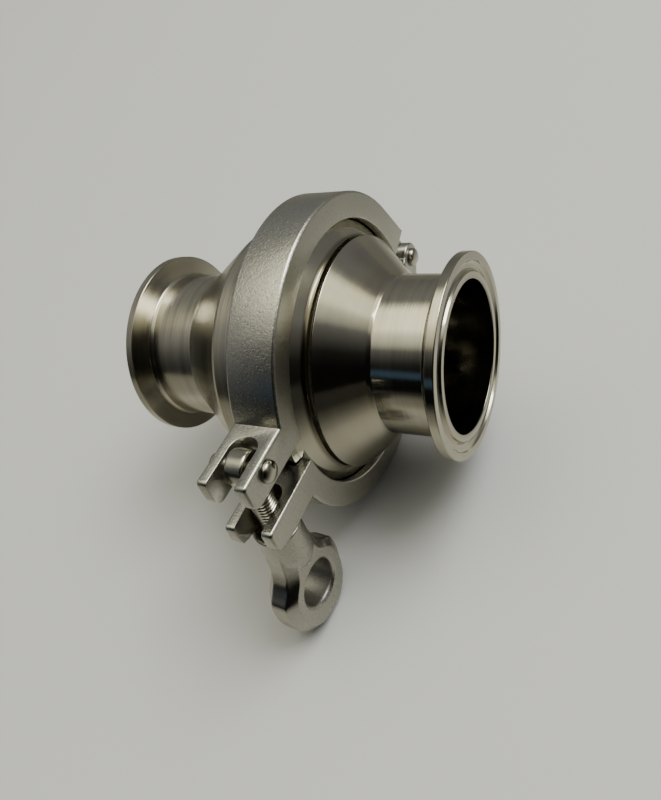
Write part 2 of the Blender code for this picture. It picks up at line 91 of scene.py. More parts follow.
def rounded(points, closed=True, steps=5):
    """Replaces each (a, b, radius) corner of an outline with a small arc."""
    count = len(points)
    result = []
    for i, (a, b, radius) in enumerate(points):
        if radius <= 0 or (not closed and i in (0, count - 1)):
            result.append((a, b))
            continue
        here = Vector((a, b))
        before = Vector(points[i - 1][:2]) - here
        after = Vector(points[(i + 1) % count][:2]) - here
        half = before.angle(after) / 2
        if half > math.radians(89):
            result.append((a, b))
            continue
        reach = min(radius / math.tan(half), before.length * 0.48, after.length * 0.48)
        used = reach * math.tan(half)
        inward = (before.normalized() + after.normalized()).normalized()
        centre = here + inward * (used / math.sin(half))
        start = here + before.normalized() * reach - centre
        end = here + after.normalized() * reach - centre
        turn = math.atan2(start.x * end.y - start.y * end.x, start.dot(end))
        for k in range(steps + 1):
            angle = turn * k / steps
            c, s = math.cos(angle), math.sin(angle)
            result.append((centre.x + start.x * c - start.y * s, centre.y + start.x * s + start.y * c))
    return result


def held(profile, closed, near=0.12):
    """Adds a point close to each end of a long straight run, so that shading stays flat along it."""
    result = []
    runs = list(zip(profile, profile[1:] + profile[:1]))
    for i, (start, end) in enumerate(runs):
        result.append(start)
        first, last = Vector(start), Vector(end)
        length = (last - first).length
        if length > 1.0 and (closed or i < len(runs) - 1):
            step = (last - first) * (near / length)
            result += [tuple(first + step), tuple(last - step)]
    return result


def make(name, verts, faces, matrix):
    """Makes an object from points in millimetres."""
    mesh = bpy.data.meshes.new(name)
    mesh.from_pydata([matrix @ Vector(v) * MM for v in verts], [], faces)
    work = bmesh.new()
    work.from_mesh(mesh)
    bmesh.ops.remove_doubles(work, verts=work.verts, dist=1e-7)
    bmesh.ops.recalc_face_normals(work, faces=work.faces)
    work.to_mesh(mesh)
    work.free()
    obj = bpy.data.objects.new(name, mesh)
    bpy.context.scene.collection.objects.link(obj)
    return obj


def revolve(name, points, matrix=TO_AXIS, segments=192, axis="X", closed=True, centre=(0.0, 0.0)):
    """Turns (along, radius, corner) points about an axis through centre."""
    profile = held(rounded(points, closed), closed)
    verts, rings, faces = [], [], []
    for along, radius in profile:
        if radius < 1e-6:
            rings.append([len(verts)])
            verts.append((along, 0.0, 0.0))
            continue
        rings.append(list(range(len(verts), len(verts) + segments)))
        for i in range(segments):
            angle = 2 * math.pi * i / segments
            verts.append((along, radius * math.cos(angle), radius * math.sin(angle)))
    pairs = list(zip(rings, rings[1:]))
    if closed:
        pairs.append((rings[-1], rings[0]))
    for first, second in pairs:
        if len(first) == 1 and len(second) == 1:
            continue
        for i in range(segments):
            j = (i + 1) % segments
            quad = [first[i % len(first)], first[j % len(first)],
                    second[j % len(second)], second[i % len(second)]]
            # At the axis a ring is one point, so the quad has a corner twice.
            faces.append(list(dict.fromkeys(quad)))
    if axis == "X":
        verts = [(x, y + centre[0], z + centre[1]) for x, y, z in verts]
    else:
        verts = [(y + centre[0], z + centre[1], x) for x, y, z in verts]
    return make(name, verts, faces, matrix)


def arc(y, z, radius, start, end, steps, chamfer):
    """(y, z, edge chamfer) points on a circle between two angles in degrees."""
    points = []
    for i in range(steps + 1):
        angle = math.radians(start + (end - start) * i / steps)
        points.append((y + radius * math.cos(angle), z + radius * math.sin(angle), chamfer))
    return points


# Section of a softened chamfer, as (inset, depth) in units of its size.
EDGE = [(1.45, 0.0), (1.12, 0.03), (0.88, 0.14), (0.14, 0.88), (0.03, 1.12), (0.0, 1.45)]


def slab(name, outline, x0, x1, matrix=TO_CLAMP):
    """Carries a (y, z, edge chamfer) outline from x0 to x1, with soft chamfers on both rims."""
    count = len(outline)
    area = sum(outline[i][0] * outline[(i + 1) % count][1] - outline[(i + 1) % count][0] * outline[i][1]
               for i in range(count))
    side = 1.0 if area > 0 else -1.0
    bends = []
    for i in range(count):
        here = Vector(outline[i][:2])
        before = here - Vector(outline[i - 1][:2])
        after = Vector(outline[(i + 1) % count][:2]) - here
        n1 = Vector((-before.y, before.x)).normalized() * side
        n2 = Vector((-after.y, after.x)).normalized() * side
        bends.append((n1 + n2) / max(0.35, 1.0 + n1.dot(n2)))
    levels = [(0, *step) for step in EDGE] + [(1, *step) for step in reversed(EDGE)]
    verts, faces = [], []
    for end, inset, depth in levels:
        for (y, z, size), bend in zip(outline, bends):
            x = x1 - depth * size if end else x0 + depth * size
            verts.append((x, y + bend.x * inset * size, z + bend.y * inset * size))
    faces = [list(range(count)), list(range(len(verts) - count, len(verts)))]
    for level in range(len(levels) - 1):
        for i in range(count):
            j = (i + 1) % count
            a = level * count
            faces.append([a + i, a + j, a + count + j, a + count + i])
    return make(name, verts, faces, matrix)


def block(y0, y1, z0, z1, x0, x1):
    return prism([(y0, z0), (y1, z0), (y1, z1), (y0, z1)], x0, x1)


def prism(corners, x0, x1):
    """A cutter with this (y, z) section, in the clamp's frame."""
    count = len(corners)
    verts = [(x, y, z) for x in (x0, x1) for y, z in corners]
    faces = [list(range(count)), list(range(count, 2 * count))]
    faces += [[i, (i + 1) % count, count + (i + 1) % count, count + i] for i in range(count)]
    return make("cutter", verts, faces, TO_CLAMP)


def drill(y, z, radius, x0, x1, segments=64, matrix=TO_CLAMP):
    """A round cutter along x."""
    return revolve("cutter", [(x0, 0, 0), (x0, radius, 0), (x1, radius, 0), (x1, 0, 0)], matrix, segments,
                   closed=False, centre=(y, z))


def applied(obj):
    """Fixes an object's modifiers into its mesh."""
    bpy.context.view_layer.update()
    graph = bpy.context.evaluated_depsgraph_get()
    mesh = bpy.data.meshes.new_from_object(obj.evaluated_get(graph), depsgraph=graph)
    obj.modifiers.clear()
    obj.data = mesh
    return obj


def combine(base, others, operation):
    """Joins or cuts base with each of the others, and removes them."""
    for other in others:
        modifier = base.modifiers.new(operation, "BOOLEAN")
        modifier.operation = operation
        modifier.solver = "EXACT"
        modifier.object = other
        applied(base)
        bpy.data.objects.remove(other, do_unlink=True)
    return base


def clean(obj, within=0.02):
    """Merges the near-double points that a cut leaves."""
    work = bmesh.new()
    work.from_mesh(obj.data)
    bmesh.ops.remove_doubles(work, verts=work.verts, dist=within * MM)
    bmesh.ops.dissolve_degenerate(work, edges=work.edges, dist=1e-6)
    work.to_mesh(obj.data)
    work.free()
    return obj


def soften(obj, width):
    """Rounds the edges that cuts left sharp."""
    modifier = obj.modifiers.new("soft_edges", "BEVEL")
    modifier.width = width * MM
    modifier.segments = 3
    modifier.limit_method = "ANGLE"
    modifier.angle_limit = math.radians(50.0)
    modifier.use_clamp_overlap = False
    modifier.miter_outer = "MITER_ARC"
    return applied(obj)


def place(obj, node, body, mat, sharp=32.0):
    """Gives a piece its finish and lets it stand for its CAD node."""
    obj.name = node + "_look"
    obj.data.name = obj.name
    obj.data.materials.clear()
    obj.data.materials.append(mat)
    obj.data.shade_smooth()
    obj.data.set_sharp_from_angle(angle=math.radians(sharp))
    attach(obj, body)
    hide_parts(node)
    return obj


# ---------------------------------------------------------------- finishes

def new_material(name):
    mat = bpy.data.materials.new(name)
    mat.use_nodes = True
    return mat, mat.node_tree, mat.node_tree.nodes["Principled BSDF"]


def add(tree, kind, **settings):
    node = tree.nodes.new(kind)
    for key, value in settings.items():
        setattr(node, key, value)
    return node


def math_node(tree, operation, first, second=None):
    """Each value is a number or a socket."""
    node = add(tree, "ShaderNodeMath", operation=operation)
    for socket, value in zip(node.inputs, (first, second)):
        if value is None:
            continue
        if isinstance(value, (int, float)):
            socket.default_value = value
        else:
            tree.links.new(value, socket)
    return node.outputs[0]


def ramp(tree, value, stops):
    """stops are (position, colour), where one number stands for a grey."""
    node = add(tree, "ShaderNodeValToRGB")
    elements = node.color_ramp.elements
    while len(elements) < len(stops):
        elements.new(0.5)
    for element, (position, colour) in zip(elements, stops):
        element.position = position
        element.color = (*colour, 1.0) if hasattr(colour, "__len__") else (colour, colour, colour, 1.0)
    tree.links.new(value, node.inputs[0])
    return node.outputs[0]


def noise(tree, vector, scale, detail, roughness):
    node = add(tree, "ShaderNodeTexNoise")
    node.inputs["Scale"].default_value = scale
    node.inputs["Detail"].default_value = detail
    node.inputs["Roughness"].default_value = roughness
    tree.links.new(vector, node.inputs["Vector"])
    return node.outputs[0]


def mixed(tree, factor, first, second, blend="MIX"):
    """Factor is a number or a socket. Each colour is a socket or an (r, g, b)."""
    node = add(tree, "ShaderNodeMix", data_type="RGBA", blend_type=blend)
    for name, value in (("Factor", factor), ("A", first), ("B", second)):
        if isinstance(value, (int, float)):
            node.inputs[name].default_value = value
        elif isinstance(value, tuple):
            node.inputs[name].default_value = (*value, 1.0)
        else:
            tree.links.new(value, node.inputs[name])
    return node.outputs["Result"]


def bump(tree, height, strength, distance, normal=None):
    node = add(tree, "ShaderNodeBump")
    node.inputs["Strength"].default_value = strength
    node.inputs["Distance"].default_value = distance
    tree.links.new(height, node.inputs["Height"])
    if normal:
        tree.links.new(normal, node.inputs["Normal"])
    return node.outputs[0]


def turned(name, colour, rough, painted_groove_shade=None):
    """Steel turned about the valve axis: fine lines, a little heat tint, and painted shade that darkens the
    bore and the clamped flange. The last argument, if given, is the (x0, x1) of a ring of painted shade
    beside a weld."""
    mat, tree, shader = new_material(name)
    coord = add(tree, "ShaderNodeTexCoord").outputs["Object"]
    split = add(tree, "ShaderNodeSeparateXYZ")
    tree.links.new(coord, split.inputs[0])
    y = math_node(tree, "SUBTRACT", split.outputs["Y"], AXIS.y * MM)
    z = math_node(tree, "SUBTRACT", split.outputs["Z"], AXIS.z * MM)
    radius = math_node(tree, "SQRT", math_node(tree, "ADD", math_node(tree, "MULTIPLY", y, y),
                                               math_node(tree, "MULTIPLY", z, z)))
    along = math_node(tree, "ADD", split.outputs["X"], math_node(tree, "MULTIPLY", radius, 0.83))
    join = add(tree, "ShaderNodeCombineXYZ")
    tree.links.new(along, join.inputs[0])
    tree.links.new(math_node(tree, "MULTIPLY", y, 0.03), join.inputs[1])
    tree.links.new(math_node(tree, "MULTIPLY", z, 0.03), join.inputs[2])
    fine = noise(tree, join.outputs[0], 3400.0, 2.0, 0.6)
    coarse = noise(tree, join.outputs[0], 520.0, 3.0, 0.6)
    cloud = noise(tree, coord, 55.0, 3.0, 0.6)
    tint = [colour[0] * 0.95, colour[1] * 0.91, colour[2] * 0.84]
    stained = ramp(tree, cloud, [(0.30, tint), (0.52, colour), (0.75, [c * 1.05 for c in colour])])
    streaks = ramp(tree, coarse, [(0.32, (0.84, 0.84, 0.86)), (0.60, (1.0, 1.0, 1.0))])
    # Painted shade: the colour falls to 0.55 times in the bore and on the clamped flange beyond the lip,
    # where these lie in shade. finish carries this together with the tint and the streaks.
    deep = ramp(tree, math_node(tree, "MULTIPLY", radius, 20.0),
                [(0.475, 0.55), (0.497, 1.0), (0.855, 1.0), (0.870, 0.55)])
    finish = mixed(tree, 1.0, mixed(tree, 1.0, stained, streaks, "MULTIPLY"), deep, "MULTIPLY")
    # Painted shade: a dark ring in the colour beside the weld, put in place of a shaded groove.
    if painted_groove_shade:
        middle, half = (painted_groove_shade[0] + painted_groove_shade[1]) / 2 * MM, (painted_groove_shade[1] - painted_groove_shade[0]) / 2 * MM
        gap = math_node(tree, "ABSOLUTE", math_node(tree, "SUBTRACT", split.outputs["X"], middle))
        ring = ramp(tree, math_node(tree, "DIVIDE", gap, half * 2),
                    [(0.30, (0.45, 0.42, 0.37)), (0.52, (1, 1, 1))])
        finish = mixed(tree, 1.0, finish, ring, "MULTIPLY")
    tree.links.new(finish, shader.inputs["Base Color"])
    rough_value = math_node(tree, "ADD", math_node(tree, "MULTIPLY", coarse, 0.12),
                            math_node(tree, "ADD", math_node(tree, "MULTIPLY", cloud, 0.06), rough - 0.09))
    tree.links.new(rough_value, shader.inputs["Roughness"])
    first = bump(tree, coarse, 0.045, 0.0004)
    tree.links.new(bump(tree, fine, 0.16, 0.00010, first), shader.inputs["Normal"])
    shader.inputs["Metallic"].default_value = 1.0
    return mat


def cast(name, colour, rough, grain=1.0):
    """Cast and tumbled steel: soft orange peel on the rim, ground flats with small pits."""
    mat, tree, shader = new_material(name)
    texture = add(tree, "ShaderNodeTexCoord")
    coord = texture.outputs["Object"]
    split = add(tree, "ShaderNodeSeparateXYZ")
    tree.links.new(texture.outputs["Normal"], split.inputs[0])
    flat = math_node(tree, "ABSOLUTE", split.outputs["X"])
    flat = ramp(tree, flat, [(0.55, 0.0), (0.85, 1.0)])
    peel = noise(tree, coord, 1500.0, 4.0, 0.62)
    wide = noise(tree, coord, 170.0, 3.0, 0.5)
    pits = ramp(tree, noise(tree, coord, 1500.0, 2.0, 0.5), [(0.30, 0.0), (0.40, 1.0)])
    speck = ramp(tree, noise(tree, coord, 1100.0, 4.0, 0.7),
                 [(0.28, [c * 0.78 for c in colour]), (0.52, colour)])
    tree.links.new(speck, shader.inputs["Base Color"])
    rough_value = math_node(tree, "ADD", math_node(tree, "MULTIPLY", peel, 0.16),
                            math_node(tree, "ADD", math_node(tree, "MULTIPLY", flat, 0.10), rough - 0.08))
    tree.links.new(rough_value, shader.inputs["Roughness"])
    first = bump(tree, wide, 0.09 * grain, 0.0009)
    second = bump(tree, peel, 0.36 * grain, 0.00016, first)
    tree.links.new(bump(tree, pits, 0.22 * grain * grain, 0.00008, second), shader.inputs["Normal"])
    shader.inputs["Metallic"].default_value = 1.0
    return mat


def plain(name, colour, rough, metallic, scale=600.0, depth=0.1):
    """One even finish with a fine grain."""
    mat, tree, shader = new_material(name)
    coord = add(tree, "ShaderNodeTexCoord").outputs["Object"]
    grain = noise(tree, coord, scale, 3.0, 0.6)
    tree.links.new(bump(tree, grain, depth, 0.0002), shader.inputs["Normal"])
    tree.links.new(ramp(tree, grain, [(0.3, [c * 0.85 for c in colour]), (0.7, colour)]),
                   shader.inputs["Base Color"])
    shader.inputs["Roughness"].default_value = rough
    shader.inputs["Metallic"].default_value = metallic
    return mat


# ---------------------------------------------------------------- bodies

def ferrule(sign):
    """Profile from the bore over the grooved face to the tube, for the +x (1) or -x (-1) end."""
    face, back = FERRULE_FACE, FERRULE_FACE - 2.85
    foot = back - (31.75 - 27.0) * SLOPE
    points = [
        (face, BORE_R, 0.35), (face, 25.9, 0.15), (face - 0.75, 26.25, 0.3), (face - 1.35, 27.0, 0.6),
        (face - 1.35, 28.4, 0.6), (face - 0.75, 29.15, 0.3), (face, 29.5, 0.15), (face, FERRULE_R, 0.35),
        (back, FERRULE_R, 0.3), (foot - 0.45, 25.9, 0.9), (foot - 1.6, TUBE_R, 0.6),
    ]
    return [(sign * x, r, c) for x, r, c in points]


def inlet_body():
    """face is where the flange meets the gasket, and rim the far edge of its outer band."""
    face, rim = 9.9, 12.75
    profile = ferrule(1) + [
        (33.4, TUBE_R, 0.9), (32.4, 26.2, 0.5), (20.75, 37.65, 0.3), (20.45, 37.2, 0.2),
        (18.2, 37.3, 1.9), (rim + FLANK, LIP_R, 0), (rim, FLANGE_R, 0.3), (face, FLANGE_R, 0.3),
        (face, 34.5, 0.3), (20.75, 34.5, 0.6), (31.5, BORE_R, 1.5),
    ]
    return revolve("inlet_body", profile, segments=256)


def outlet_body():
    """As inlet_body, with a cylindrical band and the groove for the guide's retaining ring."""
    face, rim = 8.3, 5.45
    profile = ferrule(-1) + [
        (-33.1, TUBE_R, 0.9), (-32.0, 26.15, 0.5), (-12.1, 40.5, 0.5), (-10.9, 41.2, 0.4), (3.4, 41.8, 0.15),
        (rim - FLANK, LIP_R, 0), (rim, FLANGE_R, 0.3), (face, FLANGE_R, 0.3),
        (face, 36.5, 0.3), (-2.0, 36.5, 0.15), (-2.0, 38.1, 0.1), (-3.5, 38.1, 0.1), (-3.5, 36.5, 0.15),
        (-11.5, 36.5, 0.6), (-31.0, BORE_R, 1.5),
    ]
    return revolve("outlet_body", profile, segments=256)


# ---------------------------------------------------------------- inside

def spring():
    """A coil whose end turns lie closer together."""
    around, per_turn, turns, mean, wire = 14, 40, 6.0, 10.6, 0.9
    first, last = -3.4, 18.6
    length = last - first - 2 * wire
    steps = int(turns * per_turn)
    verts, faces = [], []
    for i in range(steps + 1):
        share = i / steps
        eased = share - 0.06 * math.sin(2 * math.pi * share)
        x = first + wire + length * eased
        angle = 2 * math.pi * i / per_turn
        for k in range(around):
            bend = 2 * math.pi * k / around
            radius = mean + wire * math.cos(bend)
            verts.append((x + wire * math.sin(bend), radius * math.cos(angle), radius * math.sin(angle)))
    for i in range(steps):
        for k in range(around):
            j = (k + 1) % around
            a = i * around
            faces.append([a + k, a + j, a + around + j, a + around + k])
    faces.append(list(range(around)))
    faces.append(list(range(steps * around, (steps + 1) * around)))
    return make("spring", verts, faces, TO_AXIS)


def guide_spider():
    """A rim and a hub joined by three arms."""
    rim = revolve("rim", [(-11.0, 33.2, 0.4), (-11.0, 36.2, 0.4), (-3.9, 36.2, 0.4), (-3.9, 33.2, 0.4)])
    hub = revolve("hub", [(-17.0, 6.3, 0.2), (-17.0, 9.0, 0.6), (-16.0, 9.6, 0.4), (-3.9, 9.6, 0.5),
                          (-3.9, 6.3, 0.2)], segments=96)
    arms = []
    for turn in (90, 210, 330):
        c, s = math.cos(math.radians(turn)), math.sin(math.radians(turn))
        side = [(8.2, -2.4), (34.4, -2.4), (34.4, 2.4), (8.2, 2.4)]
        arms.append(slab("arm", [(y * c - z * s, y * s + z * c, 0.6) for y, z in side], -9.9, -4.6, TO_AXIS))
    combine(rim, arms + [hub], "UNION")
    return clean(rim)


def clip(name, outer, inner, gap, x0, x1):
    """An open ring, with gap degrees missing on each side of +y."""
    outline = arc(0, 0, outer, gap, 360 - gap, 96, 0.12) + arc(0, 0, inner, 360 - gap, gap, 96, 0.12)
    return slab(name, outline, x0, x1, TO_AXIS)


def retainer_nut():
    across = 5.0 / math.cos(math.pi / 6)
    outline = [(across * math.cos(math.radians(60 * i)), across * math.sin(math.radians(60 * i)), 0.25)
               for i in range(6)]
    nut = slab("nut", outline, 33.6, 38.6, TO_AXIS)
    combine(nut, [drill(0, 0, 3.25, 30, 42, 48, TO_AXIS)], "DIFFERENCE")
    return soften(clean(nut), 0.15)


# ---------------------------------------------------------------- clamp

def groove():
    """The clamp's inner groove: lip and deep are its half widths at LIP_R and at GROOVE_R."""
    lip, deep = 4.89, 3.762
    side = [(lip + 0.9, 40.6, 0), (lip, 43.02, 0), (deep, GROOVE_R, 0.4)]
    profile = [(MID_X - x, r, c) for x, r, c in side] + [(MID_X + x, r, c) for x, r, c in reversed(side)]
    return revolve("cutter", profile, TO_CLAMP, 256)


def slot(z0, z1):
    """The fork's open slot, with a round inner end."""
    angles = [math.pi * i / 32 for i in range(33)]
    rows = [(MID_X + SLOT_HALF * math.cos(a), SLOT_END + SLOT_HALF * math.sin(a)) for a in angles]
    outline = [(MID_X + SLOT_HALF, -90.0)] + rows + [(MID_X - SLOT_HALF, -90.0)]
    count = len(outline)
    verts = [(x, y, z) for z in (z0, z1) for x, y in outline]
    faces = [list(range(count)), list(range(count, 2 * count))]
    faces += [[i, (i + 1) % count, count + (i + 1) % count, count + i] for i in range(count)]
    return make("cutter", verts, faces, TO_CLAMP)


# Degrees from +y at which the straight line over the ring and the hinge's knuckle touches them.
LEAN = math.degrees(math.acos((CLAMP_R - KNUCKLE_R) / HINGE[0]))


def at(radius, z, side):
    """Angle in degrees of the point on a circle with this height, on the side of +y or -y."""
    base = math.degrees(math.asin(z / radius))
    return base if side > 0 else 180 - base


def clamp_upper_half():
    """The half with the middle knuckle. Its fork lies between the heights low and high."""
    low, high, tip = 4.4, 14.7, FORK_TIP
    outline = arc(0, 0, LIP_R, at(LIP_R, low, -1), at(LIP_R, 3.2, 1), 120, INNER)
    outline += [(46.3, 3.2, INNER), (46.3, -0.9, INNER)]
    outline += arc(*HINGE, KNUCKLE_R, -150, LEAN, 28, FORK)
    outline += arc(0, 0, CLAMP_R, LEAN, at(CLAMP_R, high, -1), 130, RIM)
    outline += arc(tip + 1.4, high - 1.4, 1.4, 90, 180, 6, FORK)
    outline += arc(tip + 3.6, low + 3.6, 3.6, 180, 270, 10, FORK)
    ring = slab("upper", outline, RING_X0, RING_X1)
    under = [(0, -70), (90, -70), (90, 40), (60.0, 16.4), (40.0, 7.6), (40.0, -12)]
    cuts = [groove(), prism(under, 0, 5.25), prism(under, 12.95, 19), slot(low - 5, high + 5),
            drill(*PIVOT, PIN_HOLE_R, -2, 20), drill(*HINGE, PIN_HOLE_R, -2, 20)]
    combine(ring, cuts, "DIFFERENCE")
    return soften(clean(ring), CUT_EDGE)


def clamp_lower_half():
    """The half with the two ears. Its fork is round about the pivot below, so that the nut can swing past."""
    high, low, tip = -5.5, -15.4, FORK_TIP
    reach = PIVOT[1] - low
    last = math.degrees(math.asin((PIVOT[0] - tip - 0.9) / reach))
    outline = arc(0, 0, LIP_R, at(LIP_R, high, -1), 360 + at(LIP_R, -3.0, 1), 120, INNER)
    outline += [(47.0, -3.0, INNER), (47.0, 1.8, INNER)]
    outline += arc(*HINGE, KNUCKLE_R, 150, -LEAN, 28, FORK)
    outline += arc(0, 0, CLAMP_R, -LEAN, at(CLAMP_R, low, -1) - 360, 130, RIM)
    outline += arc(*PIVOT, reach, 270, 270 - last, 10, FORK)
    outline += arc(tip + 2.4, outline[-1][1] + 2.6, 2.4, 215, 180, 4, FORK)
    outline += arc(tip + 1.4, high - 1.4, 1.4, 180, 90, 6, FORK)
    ring = slab("lower", outline, RING_X0, RING_X1)
    cuts = [groove(), block(40.0, 90, -6.2, 70, 4.9, 13.3), drill(*HINGE, 6.0, 4.9, 13.3),
            slot(low - 12, high + 5), drill(*HINGE, PIN_HOLE_R, -2, 20)]
    combine(ring, cuts, "DIFFERENCE")
    return soften(clean(ring), CUT_EDGE)


def headed_pin(centre):
    """A pin along x with a domed head at each end."""
    out, head, tall = 8.4, 3.3, 2.1
    dome = [(out, head, 0.12), (out + 0.5, head, 0)]
    for i in range(1, 12):
        angle = math.pi / 2 * i / 12
        dome.append((out + 0.5 + (tall - 0.5) * math.sin(angle), head * math.cos(angle), 0))
    dome.append((out + tall, 0.0, 0))
    profile = [(-x, r, c) for x, r, c in reversed(dome)] + [(-out, 2.3, 0), (out, 2.3, 0)] + dome
    profile = [(MID_X + x, r, c) for x, r, c in profile]
    return revolve("pin", profile, TO_CLAMP, 64, closed=False, centre=centre)


def swing_bolt():
    """Eye, neck and a climbing thread."""
    eye = revolve("eye", [(-3.1, PIN_HOLE_R, 0.3), (-3.1, 5.5, 0.8), (3.1, 5.5, 0.8), (3.1, PIN_HOLE_R, 0.3)],
                  TO_BOLT, 96)
    neck = revolve("neck", [(-3.4, 0, 0), (-3.4, 3.1, 0.3), (-6.4, 3.1, 0.5), (-8.2, 3.2, 0), (-8.2, 0, 0)],
                   TO_BOLT, 64, axis="Z", closed=False)
    combine(eye, [neck], "UNION")
    top, bottom, pitch, outer, depth, around = -6.6, -46.2, 1.25, 3.95, 0.82, 48
    rows = int((top - bottom) / (pitch / 10))
    verts, faces = [], []
    for i in range(rows + 1):
        z = top + (bottom - top) * i / rows
        for k in range(around):
            angle = 2 * math.pi * k / around
            phase = (z / pitch - k / around) % 1.0
            tooth = min(1.0, max(0.0, abs(phase - 0.5) * 2.6 - 0.15))
            fade = min(1.0, (top - z) / 1.2, (z - bottom) / 0.9 + 0.05)
            radius = outer - depth * max(1.0 - fade, tooth)
            verts.append((radius * math.cos(angle), radius * math.sin(angle), z))
    for i in range(rows):
        for k in range(around):
            j = (k + 1) % around
            a = i * around
            faces.append([a + k, a + j, a + around + j, a + around + k])
    faces += [list(range(around)), list(range(rows * around, (rows + 1) * around))]
    combine(eye, [make("thread", verts, faces, TO_BOLT)], "UNION")
    return clean(eye, 0.004)


def smooth_line(points, per=6):
    """A soft curve through (a, b) points."""
    result = []
    for i in range(len(points) - 1):
        p0 = Vector(points[max(i - 1, 0)])
        p1, p2 = Vector(points[i]), Vector(points[i + 1])
        p3 = Vector(points[min(i + 2, len(points) - 1)])
        for k in range(per):
            t = k / per
            point = 0.5 * ((2 * p1) + (p2 - p0) * t + (2 * p0 - 5 * p1 + 4 * p2 - p3) * t * t
                           + (3 * p1 - p0 - 3 * p2 + p3) * t * t * t)
            result.append((point.x, point.y))
    result.append(tuple(points[-1]))
    return result


def wing_nut():
    """A flat plate with bevelled flanks and a finger hole, on a round neck. wide and narrow are its half
    outlines in the middle and on the faces."""
    wide = [(7.0, NUT_TOP), (7.3, -33.5), (7.9, -38.4), (8.7, -42.0), (10.2, -45.2), (12.3, -47.9),
            (14.4, -50.2), (15.1, -53.0), (15.2, -57.2), (14.5, -61.9), (13.0, -65.9), (10.4, -69.4),
            (6.9, -71.7), (3.3, -72.55), (0.0, -72.65)]
    narrow = [(4.2, NUT_TOP), (4.4, -33.5), (4.7, -39.5), (5.8, -43.6), (7.6, -46.2), (9.4, -48.0),
              (10.9, -50.4), (11.6, -53.0), (11.9, -56.6), (11.6, -60.6), (10.4, -64.3), (8.3, -67.5),
              (5.5, -69.6), (2.8, -70.4), (0.0, -70.6)]
    verts, faces = [], []
    for v, line in ((-5.7, narrow), (-2.8, wide), (2.8, wide), (5.7, narrow)):
        half = smooth_line(line)
        loop = half + [(-u, w) for u, w in reversed(half[:-1])]
        count = len(loop)
        verts += [(v, u, w) for u, w in loop]
    for level in range(3):
        for i in range(count):
            j = (i + 1) % count
            a = level * count
            faces.append([a + i, a + j, a + count + j, a + count + i])
    faces += [list(range(count)), list(range(3 * count, 4 * count))]
    plate = make("plate", verts, faces, TO_NUT)
    neck = [(NUT_TOP, 0, 0), (NUT_TOP, 7.7, 0.6), (-37.0, 7.7, 1.5), (-41.0, 7.1, 1.5), (-44.5, 5.2, 1),
            (-45.4, 0, 0)]
    combine(plate, [revolve("neck", neck, TO_NUT, 96, axis="Z", closed=False)], "UNION")
    hole = [(-9, 0, 0), (-9, 9.0, 0), (-5.6, 9.0, 0), (-4.7, FINGER_HOLE_R, 0.8), (4.7, FINGER_HOLE_R, 0.8),
            (5.6, 9.0, 0), (9, 9.0, 0), (9, 0, 0)]
    hole = revolve("hole", hole, TO_NUT, 96, closed=False, centre=(0, FINGER_HOLE_Z))
    # The bore is wide round the insert and narrow round the end of the bolt.
    bore = [(-20, 0, 0), (-20, 5.6, 0), (-43.9, 5.6, 0), (-43.9, 4.3, 0), (-46.8, 4.3, 0), (-46.8, 0, 0)]
    bore = revolve("bore", bore, TO_NUT, 64, axis="Z", closed=False)
    combine(plate, [hole, bore], "DIFFERENCE")
    remesh = plate.modifiers.new("even", "REMESH")
    remesh.mode = "VOXEL"
    remesh.voxel_size = 0.00024
    smooth = plate.modifiers.new("soft", "SMOOTH")
    smooth.factor = 0.5
    smooth.iterations = 9
    return applied(plate)


def roughen_hole(nut):
    """Gives the finger hole of the nut the plain cast finish."""
    nut.data.materials.append(hole_steel)
    centre = TO_NUT @ Vector((0, 0, FINGER_HOLE_Z))
    across = TO_NUT.to_3x3() @ Vector((1, 0, 0))
    for face in nut.data.polygons:
        gap = face.center / MM - centre
        gap -= across * gap.dot(across)
        if gap.length < FINGER_HOLE_R + 0.35:
            face.material_index = 1


# ---------------------------------------------------------------- build

outlet_steel = turned("outlet_steel", (0.43, 0.415, 0.35), 0.19)
# Painted shade: the inlet's steel gets a dark ring beside its weld, from x 17.3 to 20.45.
inlet_steel = turned("inlet_steel", (0.45, 0.44, 0.375), 0.12, (17.3, 20.45))
inner_steel = turned("inner_steel", (0.40, 0.385, 0.33), 0.24)
clamp_steel = cast("cast_steel", (0.44, 0.44, 0.405), 0.24)
hole_steel = cast("rough_casting", (0.24, 0.235, 0.22), 0.42, 1.2)
nut_steel = cast("polished_casting", (0.39, 0.385, 0.36), 0.19, 0.22)
pin_steel = plain("pin_steel", (0.45, 0.435, 0.375), 0.16, 1.0, 500.0, 0.05)
wire_steel = plain("spring_steel", (0.42, 0.41, 0.39), 0.28, 1.0)
rubber = plain("black_rubber", (0.02, 0.02, 0.02), 0.55, 0.0)
ptfe = plain("white_ptfe", (0.80, 0.79, 0.76), 0.45, 0.0)
bronze = plain("bronze", (0.36, 0.27, 0.16), 0.36, 1.0)

